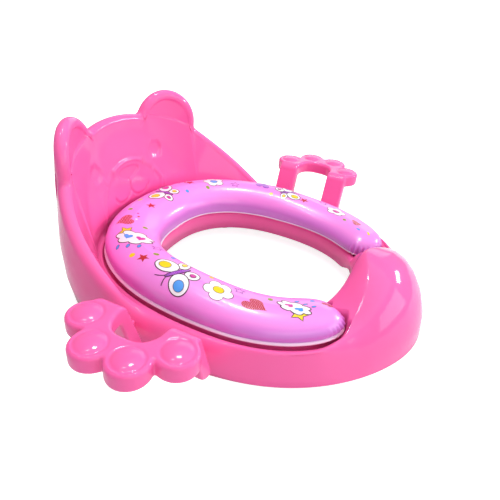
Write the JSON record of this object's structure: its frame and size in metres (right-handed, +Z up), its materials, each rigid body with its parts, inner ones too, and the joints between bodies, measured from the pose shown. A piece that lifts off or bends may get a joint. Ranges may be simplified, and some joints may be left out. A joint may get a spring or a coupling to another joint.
{
  "type": "child's potty training seat",
  "caption": "Pink plastic toilet training seat for a child, with a bear-face backrest, splash guard, paw-shaped side handles and a padded lilac cushion.",
  "frame": {"origin": "centre of the whole object's box, at the level of the pads' undersides", "axes": "+Z up; -Y towards the splash guard, which is the seated child's front; +X towards the seated child's left"},
  "size_m": [0.3942, 0.31, 0.1365],
  "materials": {
    "pink_pp": "glossy moulded",
    "pink_pp_handles": "glossy moulded",
    "lilac_vinyl": "glossy printed vinyl",
    "foam": "open-cell foam",
    "white_pp": "moulded",
    "grip_rubber": "soft grip rubber"
  },
  "bodies": {
    "seat": {"seat_shell": "pink_pp", "grip_pad_front_left": "grip_rubber", "grip_pad_front_right": "grip_rubber", "grip_pad_rear_left": "grip_rubber", "grip_pad_rear_right": "grip_rubber"},
    "cushion": {"cushion_cover": "lilac_vinyl", "cushion_foam": "foam", "cushion_board": "white_pp", "cushion_stud_1": "white_pp", "cushion_stud_2": "white_pp", "cushion_stud_3": "white_pp", "cushion_stud_4": "white_pp", "cushion_stud_5": "white_pp", "cushion_stud_6": "white_pp"},
    "handle_left": {"handle_left": "pink_pp_handles"},
    "handle_right": {"handle_right": "pink_pp_handles"}
  },
  "joints": [
    {"name": "cushion_lift", "type": "slide", "parent": "seat", "child": "cushion", "axis": [0, 0, 1], "range_m": [0, 0.06]},
    {"name": "handle_left_pull", "type": "slide", "parent": "seat", "child": "handle_left", "axis": [1, 0, 0], "range_m": [0, 0.012]},
    {"name": "handle_right_pull", "type": "slide", "parent": "seat", "child": "handle_right", "axis": [-1, 0, 0], "range_m": [0, 0.012]}
  ]
}
